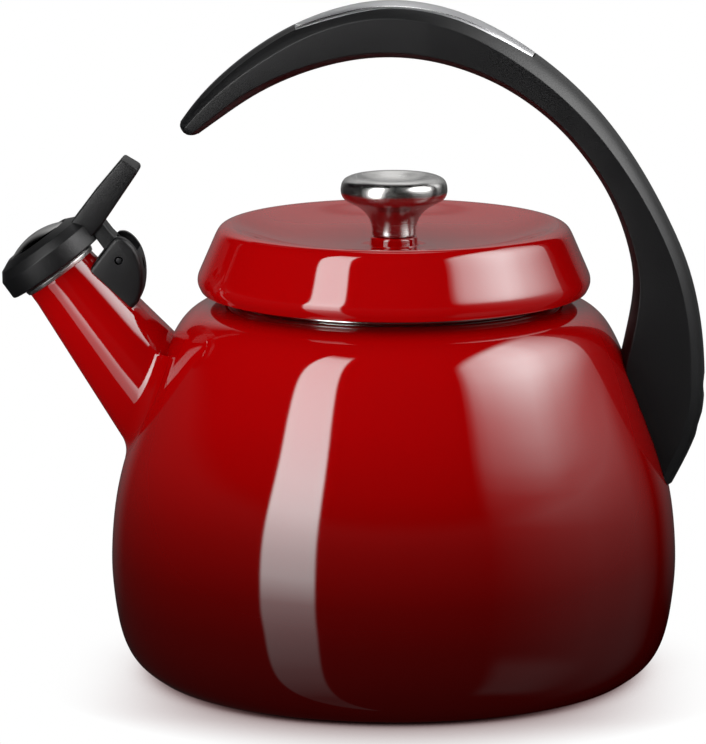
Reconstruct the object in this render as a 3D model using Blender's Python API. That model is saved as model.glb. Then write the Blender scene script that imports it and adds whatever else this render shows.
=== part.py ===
"""Stovetop whistling kettle: enamelled steel body and lid, arched plastic
handle, flip-up whistle on the spout.

Frame: metres, +Z up, origin on the table under the centre of the body.
The spout points to -X, the handle is on +X, and XZ is the plane of symmetry.
Profiles and outlines below are written in millimetres and scaled by MM.
"""
from math import cos, pi, radians, sin, tau

import bmesh
import bpy
from mathutils import Matrix, Vector

MM = 0.001

# ---- driving dimensions (mm, degrees) ---------------------------------------
GAP = 0.3                    # left between pieces that touch
BODY_SIDES = 40              # facets round the body, lid and their rings
SMALL_SIDES = 24             # facets round the spout, knob and small rings
RING_SIDES = 32              # facets round the whistle's ring
PIN_SIDES = 12               # facets round pins, screws and their holes

BODY_RADIUS = 100.0          # widest, a third of the way up
WALL = 1.5                   # enamelled steel sheet
BASE_RADIUS = 81.5           # steel plate let into the foot of the body
BASE_THICK = 2.0
FOOT_Z = 0.6                 # the foot rim of the body clears the table by this
BELLY_Z = 44.0               # height of the widest place
NECK_RADIUS = 56.6           # opening in the top of the body
NECK_Z = 133.4               # top of the shoulder at the opening

LID_RADIUS = 69.2
LID_BOTTOM_Z = 136.2
LID_RIM_Z = 159.3            # crest of the lid's rim
BOSS_RADIUS = 8.3            # raised boss that the knob stands on
BOSS_TOP_Z = 155.7
SLEEVE_RADIUS = 54.4         # drop-in sleeve under the lid
SLEEVE_DEPTH = 11.5

KNOB_RADIUS = 18.8
KNOB_TOP_Z = 177.0
KNOB_SCREW_RADIUS = 2.0

SPOUT_TILT = 36.0            # normal of the spout's mouth from the vertical
SPOUT_LEAN = 0.05            # the tube leans this much more, per mm of length
MOUTH_X, MOUTH_Z = -118.7, 142.8
MOUTH_RADIUS = 12.9
SPOUT_TAPER = 0.118          # the tube's radius grows this much per mm below the mouth
SPOUT_LENGTH = 78.0          # mouth to well inside the body, before trimming
STRAINER_HOLE = 3.4          # radius of each hole pierced behind the spout
STRAINER_PITCH = 9.6

PIN_N, PIN_H = 20.7, -9.3    # hinge pin, in the spout's frame
PIN_RADIUS = 1.2
BLOCK_HALF_WIDTH = 9.6
SLOT_HALF_WIDTH = 5.9
ARM_HALF_WIDTH = 5.5
FORK_HALF_WIDTH = 2.7        # room for the spring between the arm's cheeks
LEVER_HALF_WIDTH = 7.0
RING_RADIUS = 18.9
RING_BOTTOM_H = 0.9

HANDLE_TIP_WIDTH = 13.0
HANDLE_GRIP_WIDTH = 24.0
CROWN_OUT = 5.2              # height of the crowned outer face of the arch
CROWN_IN = 2.8
LABEL_HALF_WIDTH = 7.5
LABEL_THICK = 0.7
LUG_HALF_WIDTH = 5.0
SCREW_HEIGHTS = {"upper": 104.0, "lower": 90.0}


# ---- small tools --------------------------------------------------------------
def clear_scene():
    for item in list(bpy.data.objects):
        bpy.data.objects.remove(item, do_unlink=True)


def material(name, colour, roughness, metallic=0.0, coat=0.0):
    mat = bpy.data.materials.new(name)
    mat.use_nodes = True
    shader = mat.node_tree.nodes["Principled BSDF"]
    shader.inputs["Base Color"].default_value = (*colour, 1.0)
    shader.inputs["Roughness"].default_value = roughness
    shader.inputs["Metallic"].default_value = metallic
    shader.inputs["Coat Weight"].default_value = coat
    return mat


def place(name, mesh_builder, mat=None, parent=None, smooth=40.0):
    """Turn a bmesh in millimetres into a named object in metres."""
    bmesh.ops.remove_doubles(mesh_builder, verts=mesh_builder.verts, dist=1e-4)
    bmesh.ops.recalc_face_normals(mesh_builder, faces=mesh_builder.faces)
    bmesh.ops.scale(mesh_builder, vec=(MM, MM, MM), verts=mesh_builder.verts)
    mesh = bpy.data.meshes.new(name)
    mesh_builder.to_mesh(mesh)
    mesh_builder.free()
    mesh.shade_smooth()
    mesh.set_sharp_from_angle(angle=radians(smooth))
    thing = bpy.data.objects.new(name, mesh)
    bpy.context.collection.objects.link(thing)
    if mat:
        mesh.materials.append(mat)
    if parent:
        thing.parent = parent
    return thing


def empty(name, location, tilt=0.0, parent=None):
    guide = bpy.data.objects.new(name, None)
    guide.location = Vector(location) * MM
    guide.rotation_euler = (0.0, radians(tilt), 0.0)
    guide.parent = parent
    bpy.context.collection.objects.link(guide)
    return guide


def turned(profile, sides):
    """Spin a closed (radius, height) outline round Z; radius 0 closes at a pole."""
    shape = bmesh.new()
    points = [shape.verts.new((r, 0.0, z)) for r, z in profile]
    edges = []
    for here, following in zip(points, points[1:] + points[:1]):
        if max(here.co.x, following.co.x) > 1e-6:
            edges.append(shape.edges.new((here, following)))
    bmesh.ops.spin(shape, geom=points + edges, cent=(0, 0, 0), axis=(0, 0, 1), angle=tau,
                   steps=sides, use_merge=True, use_duplicate=False)
    bmesh.ops.remove_doubles(shape, verts=shape.verts, dist=1e-4)
    bmesh.ops.dissolve_degenerate(shape, edges=shape.edges, dist=1e-4)
    return shape


def prism(outline, half_width, centre=0.0):
    """Extrude an (x, z) outline along Y, from -half_width to +half_width."""
    shape = bmesh.new()
    points = [shape.verts.new((x, centre - half_width, z)) for x, z in outline]
    face = shape.faces.new(points)
    grown = bmesh.ops.extrude_face_region(shape, geom=[face])
    moved = [item for item in grown["geom"] if isinstance(item, bmesh.types.BMVert)]
    bmesh.ops.translate(shape, verts=moved, vec=(0, 2 * half_width, 0))
    return shape


def rod(radius, start, end, sides, shape=None):
    """A cylinder between two points, added to a bmesh."""
    shape = shape or bmesh.new()
    start, end = Vector(start), Vector(end)
    turn = (end - start).to_track_quat("Z", "Y").to_matrix().to_4x4()
    bmesh.ops.create_cone(shape, cap_ends=True, segments=sides, radius1=radius, radius2=radius,
                          depth=(end - start).length,
                          matrix=Matrix.Translation((start + end) / 2) @ turn)
    return shape


def loft(rings):
    """Skin a row of rings with equal point counts and cap both ends."""
    shape = bmesh.new()
    rows = [[shape.verts.new(point) for point in ring] for ring in rings]
    shape.faces.new(rows[0])
    for row, following in zip(rows, rows[1:]):
        for i, here in enumerate(row):
            j = (i + 1) % len(row)
            shape.faces.new((here, row[j], following[j], following[i]))
    shape.faces.new(rows[-1])
    return shape


def smooth_curve(knots, steps):
    """Catmull-Rom curve through 2-D knots, `steps` points per stretch."""
    knots = [Vector(k) for k in knots]
    ends = [2 * knots[0] - knots[1]] + knots + [2 * knots[-1] - knots[-2]]
    points = []
    for a, b, c, d in zip(ends, ends[1:], ends[2:], ends[3:]):
        for i in range(steps):
            t = i / steps
            points.append(0.5 * (2 * b + (c - a) * t + (2 * a - 5 * b + 4 * c - d) * t * t
                                 + (3 * b - a - 3 * c + d) * t ** 3))
    return [tuple(p) for p in points] + [tuple(knots[-1])]


def offset(path, distance):
    """Shift an open path sideways, to the left of its direction."""
    moved = []
    for i, point in enumerate(path):
        before, after = Vector(path[max(i - 1, 0)]), Vector(path[min(i + 1, len(path) - 1)])
        along = (after - before).normalized()
        moved.append((point[0] - along.y * distance, point[1] + along.x * distance))
    return moved


def arc(cx, cz, radius, start, end, steps):
    """Points on a circle from one angle to another, in degrees."""
    turn = [radians(start + (end - start) * i / steps) for i in range(steps + 1)]
    return [(cx + radius * cos(a), cz + radius * sin(a)) for a in turn]


def cutter(name, shape, parent=None):
    tool = place(name, shape, parent=parent)
    tool.hide_render = True
    tool.display_type = "WIRE"
    return tool


def boolean(target, tool, operation="DIFFERENCE"):
    cut = target.modifiers.new(tool.name, "BOOLEAN")
    cut.operation = operation
    cut.solver = "EXACT"
    cut.object = tool


# ---- body ---------------------------------------------------------------------
def body_side():
    """Outer side of the body, foot rim to neck, as (radius, z)."""
    knots = [(83.9, FOOT_Z), (90.9, 6.8), (96.6, 17.0), (99.4, 31.0),
             (BODY_RADIUS, BELLY_Z), (98.4, 62.0), (94.0, 80.0), (87.4, 98.0),
             (80.7, 114.5), (74.6, 125.6), (67.0, 131.2), (NECK_RADIUS + 1.4, NECK_Z)]
    return smooth_curve(knots, 2)


def body_cutter(grow):
    """The body as a solid, grown a little, to trim what is welded against it."""
    side = offset(body_side(), -grow)
    outline = [(0.0, side[0][1])] + side + [(0.0, side[-1][1])]
    return turned(outline, BODY_SIDES)


def build_body(enamel, steel, spout_frame):
    side = body_side()
    inside = offset(side, WALL)[::2]
    inside = [p for p in inside if BASE_THICK + GAP + WALL + 1.0 < p[1] < NECK_Z - WALL - 0.3]
    floor_z = BASE_THICK + GAP
    rim = BASE_RADIUS + GAP
    outline = ([(0.0, floor_z), (rim, floor_z), (rim, FOOT_Z)] + side
               + [(NECK_RADIUS, NECK_Z), (NECK_RADIUS, NECK_Z - WALL)] + inside[::-1]
               + [(rim, floor_z + WALL), (0.0, floor_z + WALL)])
    body = place("body_shell", turned(outline, BODY_SIDES), enamel)

    holes = bmesh.new()
    for k in range(7):
        reach = 0.0 if k == 6 else STRAINER_PITCH
        x, y = reach * cos(k * tau / 6), reach * sin(k * tau / 6)
        rod(STRAINER_HOLE, (x, y, -30.0), (x, y, -86.0), 12, holes)
    boolean(body, cutter("strainer_punch", leaned(holes), spout_frame))

    base = [(0.0, 0.0), (BASE_RADIUS - 0.5, 0.0), (BASE_RADIUS, 0.5), (BASE_RADIUS, BASE_THICK),
            (0.0, BASE_THICK)]
    place("base_plate", turned(base, BODY_SIDES), steel)

    bottom, top, inner = NECK_Z + GAP, NECK_Z + 1.9, NECK_RADIUS - 1.6
    ring = [(inner, NECK_Z - 6.0), (inner + 1.2, NECK_Z - 6.0), (inner + 1.2, bottom),
            (NECK_RADIUS + 1.2, bottom), (NECK_RADIUS + 1.9, bottom + 0.8),
            (NECK_RADIUS + 1.2, top),
            (inner + 0.4, top), (inner, top - 0.4)]
    place("neck_ring", turned(ring, BODY_SIDES), steel)


# ---- lid ----------------------------------------------------------------------
def build_lid(enamel, steel, lid_axis):
    outer = ([(KNOB_SCREW_RADIUS + 0.6, BOSS_TOP_Z), (BOSS_RADIUS - 0.7, BOSS_TOP_Z),
              (BOSS_RADIUS, BOSS_TOP_Z - 0.8), (BOSS_RADIUS, 153.2), (BOSS_RADIUS + 1.2, 152.2)]
             + smooth_curve([(18.0, 152.3), (36.0, 153.8), (50.0, 156.8), (57.4, 158.9)], 1)
             + [(60.0, LID_RIM_Z), (61.7, 158.6), (62.9, 156.2), (68.4, 143.6)]
             + arc(LID_RADIUS - 3.4, 140.3, 3.4, 15, -75, 4) + [(60.0, LID_BOTTOM_Z)])
    inner = offset(outer, -WALL)
    inner[0] = (KNOB_SCREW_RADIUS + 0.6, BOSS_TOP_Z - WALL)
    inner[-1] = (60.0, LID_BOTTOM_Z + WALL)
    place("lid_shell", turned(outer + inner[::-1], BODY_SIDES), enamel, lid_axis)

    top, flange = LID_BOTTOM_Z + 0.6, LID_BOTTOM_Z - 0.6
    foot = top - SLEEVE_DEPTH
    sleeve = [(SLEEVE_RADIUS - 1.0, foot), (SLEEVE_RADIUS, foot), (SLEEVE_RADIUS, flange),
              (59.6, flange), (59.6, top), (SLEEVE_RADIUS - 1.0, top)]
    place("lid_sleeve", turned(sleeve, BODY_SIDES), steel, lid_axis)


def build_knob(steel, lid_axis):
    foot, bore = BOSS_TOP_Z + GAP, KNOB_SCREW_RADIUS + GAP
    flare = smooth_curve([(7.7, foot), (7.9, foot + 3.2), (9.4, foot + 7.0), (12.8, foot + 10.2),
                          (16.4, foot + 12.2)], 2)
    head = smooth_curve([(17.9, foot + 13.4), (KNOB_RADIUS, foot + 15.9), (17.8, KNOB_TOP_Z - 1.9),
                         (15.0, KNOB_TOP_Z - 0.2), (12.0, KNOB_TOP_Z)], 2)
    dish = smooth_curve([(10.8, KNOB_TOP_Z - 0.4), (6.0, KNOB_TOP_Z - 2.2),
                         (0.0, KNOB_TOP_Z - 2.9)], 2)
    outline = [(bore, foot)] + flare + head + dish + [(0.0, foot + 9.6), (bore, foot + 9.6)]
    place("lid_knob", turned(outline, SMALL_SIDES), steel, lid_axis)

    under = BOSS_TOP_Z - WALL - GAP
    washer = [(bore, under - 1.0), (6.0, under - 1.0), (6.0, under), (bore, under)]
    place("knob_washer", turned(washer, SMALL_SIDES), steel, lid_axis)
    head_top = under - 1.0 - GAP
    screw = [(0.0, head_top - 2.6), (2.6, head_top - 2.6), (3.8, head_top - 1.4), (3.8, head_top),
             (KNOB_SCREW_RADIUS, head_top), (KNOB_SCREW_RADIUS, foot + 8.8), (0.0, foot + 8.8)]
    place("knob_screw", turned(screw, 16), steel, lid_axis)


# ---- spout --------------------------------------------------------------------
def spout_radius(h):
    """Outer radius of the spout at a height h below (negative) or at the mouth."""
    return MOUTH_RADIUS - SPOUT_TAPER * h


def leaned(shape):
    """Shear a shape turned round the mouth's normal, to follow the leaning tube."""
    lean = Matrix.Identity(4)
    lean[0][2] = -SPOUT_LEAN
    bmesh.ops.transform(shape, matrix=lean, verts=shape.verts)
    return shape


def spout_side(grow):
    return [(spout_radius(h) + grow, h) for h in (-SPOUT_LENGTH, -60.0, -40.0, -20.0, -8.0)]


def build_spout(enamel, steel, trim, spout_frame):
    lip = -1.3
    outer = spout_side(0.0) + [(MOUTH_RADIUS + 0.4, -3.0), (MOUTH_RADIUS + 0.6, lip)]
    inner = [(MOUTH_RADIUS - 1.3, lip)] + [(r - 1.3, h) for r, h in spout_side(0.0)[::-1]]
    tube = place("spout_tube", leaned(turned(outer + inner, SMALL_SIDES)), enamel, spout_frame)
    boolean(tube, trim)

    rim = [(10.2, -6.0), (11.0, -6.0), (11.0, lip + GAP), (13.8, lip + GAP), (14.1, -0.3),
           (13.9, 0.6), (10.6, 0.6), (10.2, 0.3)]
    place("mouth_collar", turned(rim, SMALL_SIDES), steel, spout_frame)


# ---- hinge on the spout ---------------------------------------------------------
def laid_along_x(shape, z):
    """Lay a shape turned round Z along the X direction, at a height z."""
    turn = Matrix.Translation((0, 0, z)) @ Matrix.Rotation(pi / 2, 4, "Y")
    bmesh.ops.transform(shape, matrix=turn, verts=shape.verts)
    return shape


def build_hinge(plastic, steel, spring_steel, spout_frame, flip_axis):
    outline = ([(7.0, -6.9), (22.4, -2.3)]
               + smooth_curve([(24.4, -2.1), (26.4, -3.6), (27.6, -7.0), (27.3, -12.0), (24.7, -18.0),
                               (20.6, -23.0), (17.2, -25.4)], 2)
               + [(13.0, -26.2), (7.0, -22.0)])
    block = place("hinge_block", prism(outline, BLOCK_HALF_WIDTH), plastic, spout_frame)
    slot = [(16.0, 4.0), (16.3, -9.0), (18.0, -18.5), (19.4, -20.4), (22.6, -17.0), (25.0, -12.6),
            (25.6, -10.6), (34.0, -10.6), (34.0, 4.0)]
    boolean(block, cutter("slot_cutter", prism(slot, SLOT_HALF_WIDTH), spout_frame))
    saddle = spout_side(GAP) + [(spout_radius(0) + GAP, 6.0), (0.0, 6.0), (0.0, -SPOUT_LENGTH)]
    boolean(block, cutter("saddle_cutter", leaned(turned(saddle, SMALL_SIDES)), spout_frame))
    pin_bore = rod(PIN_RADIUS + GAP, (PIN_N, -15, PIN_H), (PIN_N, 15, PIN_H), PIN_SIDES)
    boolean(block, cutter("pin_bore", pin_bore, spout_frame))
    pin = rod(PIN_RADIUS, (PIN_N, -8.8, PIN_H), (PIN_N, 8.8, PIN_H), PIN_SIDES)
    place("hinge_pin", pin, steel, spout_frame)

    stud_h = -15.8
    stud_bore = rod(1.9, (0, 0, stud_h), (30, 0, stud_h), PIN_SIDES)
    boolean(block, cutter("stud_bore", stud_bore, spout_frame))
    seat = spout_radius(stud_h) - SPOUT_LEAN * stud_h + GAP
    place("spout_stud", rod(1.5, (seat, 0, stud_h), (19.9, 0, stud_h), PIN_SIDES), steel, spout_frame)
    nut = turned([(2.7, 18.4), (2.7, 19.5), (1.8, 19.5), (1.8, 18.4)], PIN_SIDES)
    place("stud_nut", laid_along_x(nut, stud_h), steel, spout_frame)
    build_spring(spring_steel, flip_axis)


def build_spring(spring_steel, flip_axis):
    """Torsion spring: three turns on the pin, one leg on the floor, one on the arm."""
    wire, coil, turns, per_turn = 0.4, 2.3, 3, 12
    path = bpy.data.curves.new("whistle_spring", "CURVE")
    path.dimensions = "3D"
    path.bevel_depth = wire * MM
    path.bevel_resolution = 1
    path.use_fill_caps = True
    points = [(-3.1, -1.7, -4.4)]
    for i in range(turns * per_turn + 7):
        angle = pi + tau * i / per_turn
        across = -1.5 + 3.0 * i / (turns * per_turn + 6)
        points.append((coil * cos(angle), across, coil * -sin(angle)))
    points.append((coil + 0.1, 1.6, 6.6))
    line = path.splines.new("POLY")
    line.points.add(len(points) - 1)
    for spot, point in zip(line.points, points):
        spot.co = (*(Vector(point) * MM), 1.0)
    spring = bpy.data.objects.new("whistle_spring", path)
    path.materials.append(spring_steel)
    bpy.context.collection.objects.link(spring)
    spring.parent = flip_axis


# ---- whistle (moves on the hinge) ------------------------------------------------
def around_pin(outline):
    return [(n - PIN_N, h - PIN_H) for n, h in outline]


def shifted(shape):
    """Move a shape turned round the spout axis into the frame of the hinge pin."""
    bmesh.ops.translate(shape, verts=shape.verts, vec=(-PIN_N, 0, -PIN_H))
    return shape


def build_whistle(plastic, steel, rubber, flip_axis):
    bottom, wall_top, lip_top = RING_BOTTOM_H, 7.7, 12.7
    ring = [(14.2, bottom), (RING_RADIUS - 0.6, bottom), (RING_RADIUS, bottom + 0.6),
            (RING_RADIUS, wall_top), (RING_RADIUS - 2.2, 10.7), (12.4, lip_top), (11.9, lip_top - 0.2),
            (11.9, 11.8), (14.2, 11.8)]
    frame = place("whistle_frame", shifted(turned(ring, RING_SIDES)), plastic, flip_axis)

    lever = [(15.4, 7.0), (15.4, 11.6), (19.5, 12.9), (26.5, 14.9), (41.8, 18.6), (42.8, 18.0),
             (45.1, 13.2), (44.6, 11.8), (24.0, 4.4), (15.4, 2.4)]
    lever_solid = cutter("lever_solid", prism(around_pin(lever), LEVER_HALF_WIDTH), flip_axis)
    boolean(frame, lever_solid, "UNION")
    arm = ([(18.2, 4.6), (18.2, -4.0)] + arc(PIN_N, PIN_H, 3.6, 160, 370, 7)
           + [(24.2, -4.0), (23.6, 0.0), (23.4, 6.0)])
    arm_solid = cutter("arm_solid", prism(around_pin(arm), ARM_HALF_WIDTH), flip_axis)
    boolean(frame, arm_solid, "UNION")
    fork = [(8.0, -20.0), (30.0, -20.0), (30.0, -2.4), (8.0, -2.4)]
    boolean(frame, cutter("fork_cutter", prism(around_pin(fork), FORK_HALF_WIDTH), flip_axis))
    bore = rod(PIN_RADIUS + GAP, (0, -15, 0), (0, 15, 0), PIN_SIDES)
    boolean(frame, cutter("arm_bore", bore, flip_axis))

    curve_h, curve_r, sheet = -8.7, 24.0, 0.6
    dome = ([(1.6, 15.25)] + arc(0.0, curve_h, curve_r, 84, 62.5, 3)
            + [(11.3, 11.5), (13.8, 11.5), (13.8, 10.9), (10.8, 10.9)]
            + arc(0.0, curve_h, curve_r - sheet, 62.5, 84, 3) + [(1.6, 14.65)])
    place("whistle_dome", shifted(turned(dome, SMALL_SIDES)), steel, flip_axis)
    plate = [(1.6, 10.0), (13.8, 10.0), (13.8, 10.6), (1.6, 10.6)]
    place("whistle_plate", shifted(turned(plate, SMALL_SIDES)), steel, flip_axis)
    seal = [(11.2, 1.4), (12.0, bottom), (13.8, bottom), (13.8, 9.7), (12.6, 9.7), (11.2, 4.0)]
    place("whistle_seal", shifted(turned(seal, SMALL_SIDES)), rubber, flip_axis)


# ---- handle -----------------------------------------------------------------------
def handle_stations():
    """Pairs of points on the inner and outer edge of the arch, tip to foot."""
    outer = smooth_curve([(-74.7, 195.0), (-66.0, 205.5), (-52.4, 217.8), (-34.6, 229.0),
                          (-15.0, 235.9), (4.0, 237.4), (24.0, 232.9), (43.0, 223.2),
                          (60.0, 211.4), (74.7, 196.5), (87.1, 179.1), (96.6, 161.6),
                          (104.0, 144.2), (108.4, 125.0), (109.8, 106.0), (107.6, 88.0),
                          (98.9, 68.9)], 3)
    inner = smooth_curve([(-68.6, 191.6), (-59.5, 198.2), (-47.0, 206.4), (-31.0, 213.6),
                          (-14.0, 218.0), (2.0, 219.0), (17.5, 216.8), (33.0, 211.4),
                          (46.6, 203.6), (59.0, 193.2), (69.4, 180.6), (77.0, 167.6),
                          (82.4, 152.4), (84.0, 136.4), (80.6, 117.0), (78.0, 96.0),
                          (80.0, 66.0)], 3)
    return list(zip(inner, outer))


def handle_width(t):
    """Width across the arch, t from 0 at the tip to 1 at the foot."""
    swell = min(1.0, t / 0.35)
    return HANDLE_TIP_WIDTH + (HANDLE_GRIP_WIDTH - HANDLE_TIP_WIDTH) * swell ** 0.7


def handle_section(inner, outer, width, sunk, shrink=1.0):
    """Side faces with a crowned outer face and a softer inner one."""
    inner, outer = Vector(inner), Vector(outer)
    depth = (outer - inner).length
    rise = (outer - inner) / depth
    middle = (inner + outer) / 2
    crown_out, crown_in = min(CROWN_OUT, depth * 0.34), min(CROWN_IN, depth * 0.22)
    half = width / 2
    label = LABEL_HALF_WIDTH + GAP
    one_side = [(half * 0.4, 0.0), (half * 0.8, crown_in * 0.4), (half, crown_in),
                (half, depth - crown_out), (half * 0.9, depth - crown_out * 0.62),
                (label, depth - crown_out * 0.16), (label - 0.1, depth - sunk)]
    ring = []
    for across, along in one_side + [(-across, along) for across, along in one_side[::-1]]:
        spot = middle + rise * ((along - depth / 2) * shrink)
        ring.append((spot.x, across * shrink, spot.y))
    return ring


def build_handle(plastic, label_metal, steel, trim):
    stations = handle_stations()
    last = len(stations) - 1
    label_first, label_last = 9, 22
    rings = []
    pocket_floor = LABEL_THICK + GAP
    for i, (inner, outer) in enumerate(stations):
        width = handle_width(i / last)
        sunk = pocket_floor if label_first <= i < label_last else 0.0
        if i == 0:
            tip = Vector((-0.66, -0.75)) * 1.2
            nose = [Vector(p) + tip for p in (inner, outer)]
            rings.append(handle_section(*nose, width, 0.0, 0.62))
        if i in (label_first, label_last):
            rings.append(handle_section(inner, outer, width, pocket_floor - sunk))
            step = (Vector(stations[i + 1][1]) - Vector(outer)).normalized() * 0.05
            inner, outer = [Vector(p) + step for p in (inner, outer)]
        rings.append(handle_section(inner, outer, width, sunk))
    grip = place("handle_grip", loft(rings), plastic, smooth=35.0)
    boolean(grip, trim)

    label = []
    for inner, outer in stations[label_first:label_last + 1]:
        rise = (Vector(outer) - Vector(inner)).normalized()
        top = Vector(outer)
        low = top - rise * LABEL_THICK
        label.append([(low.x, -LABEL_HALF_WIDTH, low.y), (low.x, LABEL_HALF_WIDTH, low.y),
                      (top.x, LABEL_HALF_WIDTH, top.y), (top.x, -LABEL_HALF_WIDTH, top.y)])
    for end, neighbour in ((0, 1), (-1, -2)):
        inward = (Vector(label[neighbour][0]) - Vector(label[end][0])).normalized() * 0.6
        label[end] = [tuple(Vector(p) + inward) for p in label[end]]
    place("handle_label", loft(label), label_metal)
    build_bracket(grip, steel, trim)


def build_bracket(grip, steel, trim):
    """Lug welded to the body, hidden in the grip's foot, and its two screws."""
    lug_outline = [(76.0, 83.0), (99.0, 83.0), (100.0, 84.0), (100.0, 110.0), (99.0, 111.0),
                   (76.0, 111.0)]
    pocket = [(70.0, 82.6), (100.4, 82.6), (100.4, 111.4), (70.0, 111.4)]
    boolean(grip, cutter("lug_pocket", prism(pocket, LUG_HALF_WIDTH + GAP)))
    lug = place("handle_bracket", prism(lug_outline, LUG_HALF_WIDTH), steel)
    boolean(lug, trim)
    for name, z in SCREW_HEIGHTS.items():
        boolean(grip, cutter(name + "_counterbore", rod(4.4, (103.0, 0, z), (125.0, 0, z), 16)))
        boolean(grip, cutter(name + "_clearance", rod(2.4, (95.0, 0, z), (110.0, 0, z), PIN_SIDES)))
        boolean(lug, cutter(name + "_thread", rod(2.3, (93.0, 0, z), (105.0, 0, z), PIN_SIDES)))
        screw = [(0.0, 94.5), (2.0, 94.5), (2.0, 103.3), (4.0, 103.3), (4.0, 105.2), (3.2, 106.0),
                 (0.0, 106.0)]
        place("handle_screw_" + name, laid_along_x(turned(screw, 16), z), steel)


def build():
    clear_scene()
    enamel = material("red_enamel", (0.36, 0.004, 0.004), 0.12, coat=1.0)
    steel = material("stainless_steel", (0.62, 0.61, 0.59), 0.25, 1.0)
    plain_steel = material("plain_steel", (0.32, 0.32, 0.33), 0.4, 1.0)
    plastic = material("black_plastic", (0.012, 0.012, 0.013), 0.48)
    rubber = material("silicone_rubber", (0.05, 0.05, 0.055), 0.7)
    label_metal = material("label_metal", (0.55, 0.55, 0.56), 0.3, 1.0)

    spout_frame = empty("spout_frame", (MOUTH_X, 0, MOUTH_Z), -SPOUT_TILT)
    flip_axis = empty("flip_axis", (PIN_N, 0, PIN_H), parent=spout_frame)
    lid_axis = empty("lid_axis", (0, 0, 0))
    trim = cutter("body_trim", body_cutter(GAP))

    build_body(enamel, steel, spout_frame)
    build_lid(enamel, steel, lid_axis)
    build_knob(steel, lid_axis)
    build_spout(enamel, steel, trim, spout_frame)
    build_hinge(plastic, steel, plain_steel, spout_frame, flip_axis)
    build_whistle(plastic, steel, rubber, flip_axis)
    build_handle(plastic, label_metal, plain_steel, trim)


build()
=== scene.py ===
from math import cos, pi, radians, sin, tan, tau

import bmesh
import bpy
from mathutils import Matrix, Vector


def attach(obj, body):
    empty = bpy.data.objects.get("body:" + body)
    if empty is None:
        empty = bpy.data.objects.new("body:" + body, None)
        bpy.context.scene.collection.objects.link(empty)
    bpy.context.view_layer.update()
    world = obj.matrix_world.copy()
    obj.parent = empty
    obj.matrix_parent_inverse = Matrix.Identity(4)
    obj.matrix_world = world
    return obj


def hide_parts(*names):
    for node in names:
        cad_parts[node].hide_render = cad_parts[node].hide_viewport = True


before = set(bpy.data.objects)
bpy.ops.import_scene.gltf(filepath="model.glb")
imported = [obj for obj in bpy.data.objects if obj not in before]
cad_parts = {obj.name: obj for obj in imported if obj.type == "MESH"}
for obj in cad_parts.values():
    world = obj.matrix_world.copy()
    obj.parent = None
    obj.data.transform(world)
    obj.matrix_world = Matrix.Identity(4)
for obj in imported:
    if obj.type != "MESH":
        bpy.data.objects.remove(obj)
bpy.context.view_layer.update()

# ---- base plate ----
# A flat disc of stainless steel let into the foot of the body, so that the kettle
# sits level on a hob. Its edge is rolled over and the middle is drawn up a little,
# leaving a turned rim to stand on. All outlines are in millimetres.


def rounded(corners, steps=5):
    """Outline through (x, z, radius) corners, each turned on an arc of its radius."""
    outline = []
    for k, (x, z, radius) in enumerate(corners):
        here = Vector((x, z))
        if not radius:
            outline.append(here)
            continue
        back = (Vector(corners[k - 1][:2]) - here).normalized()
        onward = (Vector(corners[(k + 1) % len(corners)][:2]) - here).normalized()
        half = back.angle(onward) / 2
        centre = here + (back + onward).normalized() * radius / sin(half)
        first, last = [here + way * radius / tan(half) - centre for way in (back, onward)]
        outline += [centre + radius * first.slerp(last, i / steps) for i in range(steps + 1)]
    return outline


def turned(outline, steps=128):
    """Turn a closed (radius, height) outline on a lathe, round the Z axis."""
    form = bmesh.new()
    points = [form.verts.new((x, 0.0, z)) for x, z in outline]
    edges = [form.edges.new(pair) for pair in zip(points, points[1:] + points[:1])
             if max(pair[0].co.x, pair[1].co.x) > 1e-6]
    bmesh.ops.spin(form, geom=points + edges, cent=(0, 0, 0), axis=(0, 0, 1), angle=tau,
                   steps=steps, use_merge=True, use_duplicate=False)
    bmesh.ops.remove_doubles(form, verts=form.verts, dist=1e-4)
    bmesh.ops.dissolve_degenerate(form, edges=form.edges, dist=1e-5)
    return form


def piece(name, form, crease=32):
    """Make a bmesh in millimetres a smooth-shaded object in metres, creased by angle."""
    bmesh.ops.remove_doubles(form, verts=form.verts, dist=1e-4)
    bmesh.ops.recalc_face_normals(form, faces=form.faces)
    bmesh.ops.scale(form, vec=(0.001, 0.001, 0.001), verts=form.verts)
    mesh = bpy.data.meshes.new(name)
    form.to_mesh(mesh)
    form.free()
    mesh.shade_smooth()
    mesh.set_sharp_from_angle(angle=radians(crease))
    thing = bpy.data.objects.new(name, mesh)
    bpy.context.scene.collection.objects.link(thing)
    return thing


class Flow:
    """A value inside a finish. Arithmetic on it adds Math nodes."""

    def __init__(self, finish, socket):
        self.finish, self.socket = finish, socket

    def math(self, operation, *values):
        """A Math node that takes only the values listed."""
        return self.finish.node("ShaderNodeMath", {"operation": operation},
                                dict(enumerate(values)))

    def __add__(self, other):
        return self.math("ADD", self, other)

    def __sub__(self, other):
        return self.math("SUBTRACT", self, other)

    def __rsub__(self, other):
        return self.math("SUBTRACT", other, self)

    def __mul__(self, other):
        return self.math("MULTIPLY", self, other)

    def __truediv__(self, other):
        return self.math("DIVIDE", self, other)

    def __pow__(self, other):
        return self.math("POWER", self, other)

    __radd__, __rmul__ = __add__, __mul__

    def between(self, low, high):
        """0 below low, 1 above high, eased between them."""
        return self.finish.node("ShaderNodeMapRange", {"interpolation_type": "SMOOTHSTEP"},
                                {"Value": self, "From Min": low, "From Max": high})


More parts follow.
